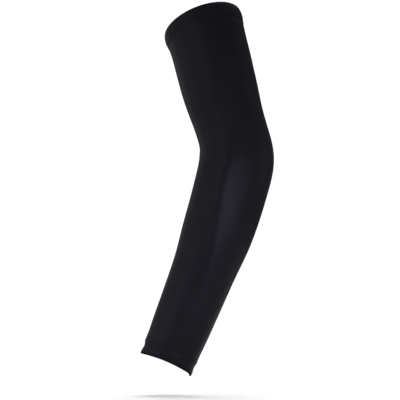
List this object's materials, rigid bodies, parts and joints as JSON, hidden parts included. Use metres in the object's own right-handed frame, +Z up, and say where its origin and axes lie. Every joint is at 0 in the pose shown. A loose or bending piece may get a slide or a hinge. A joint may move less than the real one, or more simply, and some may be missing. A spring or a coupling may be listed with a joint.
{
  "type": "sun protection arm sleeve",
  "caption": "Black seamless knitted sleeve that covers a bent arm from the upper arm to the wrist, hollow from end to end, with a folded hem at each rim.",
  "frame": {"origin": "middle of the upper opening, where the upper arm holds the sleeve", "axes": "+Z up, +X towards the point of the elbow, -Y towards the outer side of the arm"},
  "size_m": [0.1484, 0.0918, 0.4142],
  "materials": {
    "black_knit": "fine weft knit of nylon and elastane, matt with a soft sheen",
    "hem_knit": "the same knit folded double and stitched down"
  },
  "bodies": {
    "root": {"sleeve_body": "black_knit", "upper_hem": "hem_knit", "wrist_hem": "hem_knit"}
  },
  "joints": []
}
